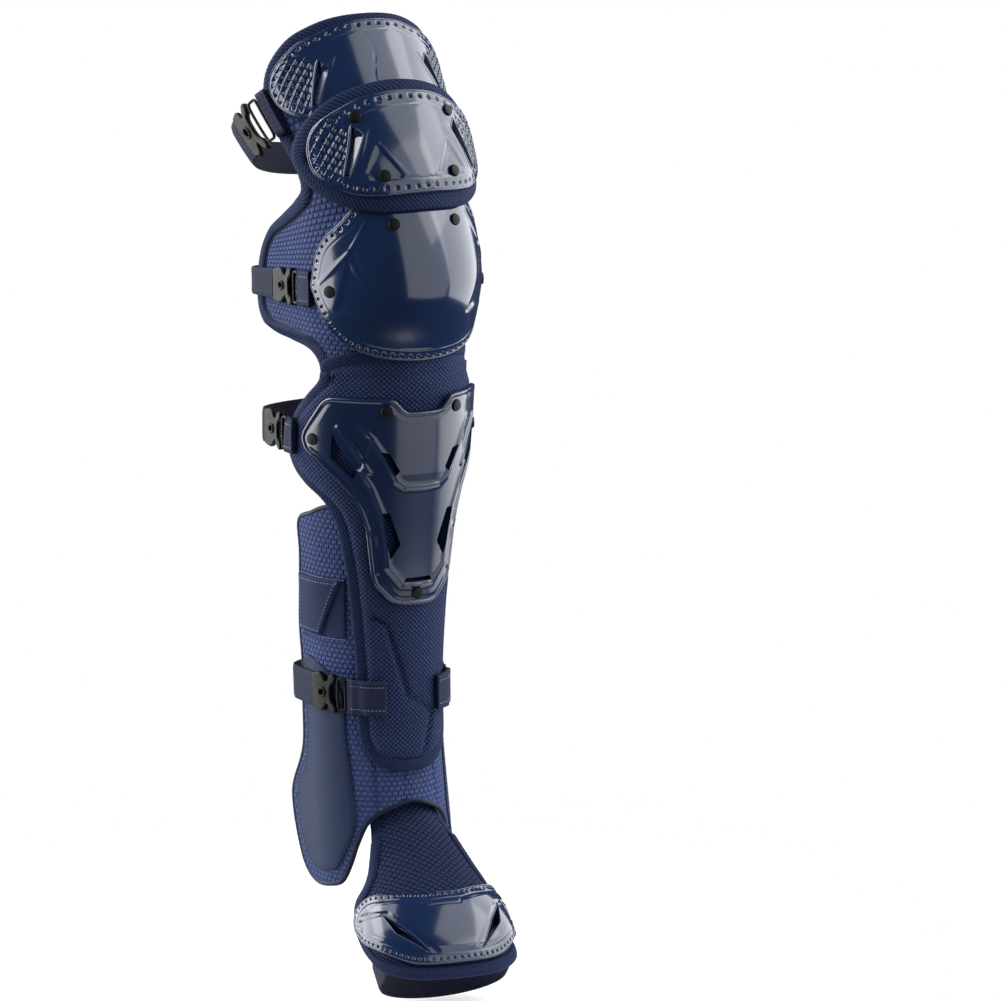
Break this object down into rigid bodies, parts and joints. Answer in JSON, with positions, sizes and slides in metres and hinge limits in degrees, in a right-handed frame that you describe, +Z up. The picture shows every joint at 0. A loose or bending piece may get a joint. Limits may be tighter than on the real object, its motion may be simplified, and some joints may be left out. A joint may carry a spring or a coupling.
{
  "type": "catcher leg guard",
  "caption": "Navy catcher's leg guard: padded thigh and knee liner under domed shells, slotted shin plate, ankle wrap, capped toe flap and elastic straps with hooks.",
  "frame": {"origin": "on the axis of the wearer's leg, level with the middle of the kneecap", "axes": "+Z up along the shin towards the thigh, -Y towards the front of the leg, -X towards its outer side, where the hooks are"},
  "size_m": [0.16, 0.2572, 0.7047],
  "materials": {
    "knit": "padded waffle knit",
    "fine_mesh": "fine mesh over foam",
    "twill": "diagonal twill binding",
    "glossy_shell": "moulded, high gloss",
    "satin_shell": "moulded, satin",
    "patch_skin": "smooth coated cloth",
    "webbing": "woven elastic webbing",
    "black_metal": "black lacquer"
  },
  "bodies": {
    "root": {"main_liner": "knit", "flap_pad": "knit", "ankle_wrap": "knit", "toe_flap": "knit", "shin_pad": "fine_mesh", "main_binding": "twill", "flap_binding": "twill", "shin_binding": "twill", "toe_binding": "twill", "thigh_shell": "glossy_shell", "knee_shell": "glossy_shell", "flap_shell": "glossy_shell", "toe_cap": "glossy_shell", "shin_plate": "satin_shell", "ankle_patch_medial": "patch_skin", "ankle_patch_lateral": "patch_skin", "wrap_tab_medial": "patch_skin", "wrap_tab_lateral": "patch_skin", "loop_patch_medial": "webbing", "loop_patch_lateral": "webbing", "toe_elastic": "webbing", "thigh_loop_outer": "webbing", "thigh_loop_inner": "webbing", "thigh_strap": "webbing", "knee_loop_outer": "webbing", "knee_loop_inner": "webbing", "knee_strap": "webbing", "calf_loop_outer": "webbing", "calf_loop_inner": "webbing", "calf_strap": "webbing", "ankle_loop_outer": "webbing", "ankle_loop_inner": "webbing", "ankle_strap": "webbing", "thigh_ring_outer": "black_metal", "thigh_ring_inner": "black_metal", "thigh_hook": "black_metal", "knee_ring_outer": "black_metal", "knee_ring_inner": "black_metal", "knee_hook": "black_metal", "calf_ring_outer": "black_metal", "calf_ring_inner": "black_metal", "calf_hook": "black_metal", "ankle_ring_outer": "black_metal", "ankle_ring_inner": "black_metal", "ankle_hook": "black_metal", "rivet_flap_upper_outer": "black_metal", "rivet_flap_upper_inner": "black_metal", "rivet_flap_lower_outer": "black_metal", "rivet_flap_lower_inner": "black_metal", "rivet_knee_upper_outer": "black_metal", "rivet_knee_upper_inner": "black_metal", "rivet_knee_side_outer": "black_metal", "rivet_knee_side_inner": "black_metal", "rivet_plate_upper_outer": "black_metal", "rivet_plate_upper_inner": "black_metal", "rivet_plate_side_outer": "black_metal", "rivet_plate_side_inner": "black_metal", "rivet_plate_foot": "black_metal"}
  },
  "joints": []
}
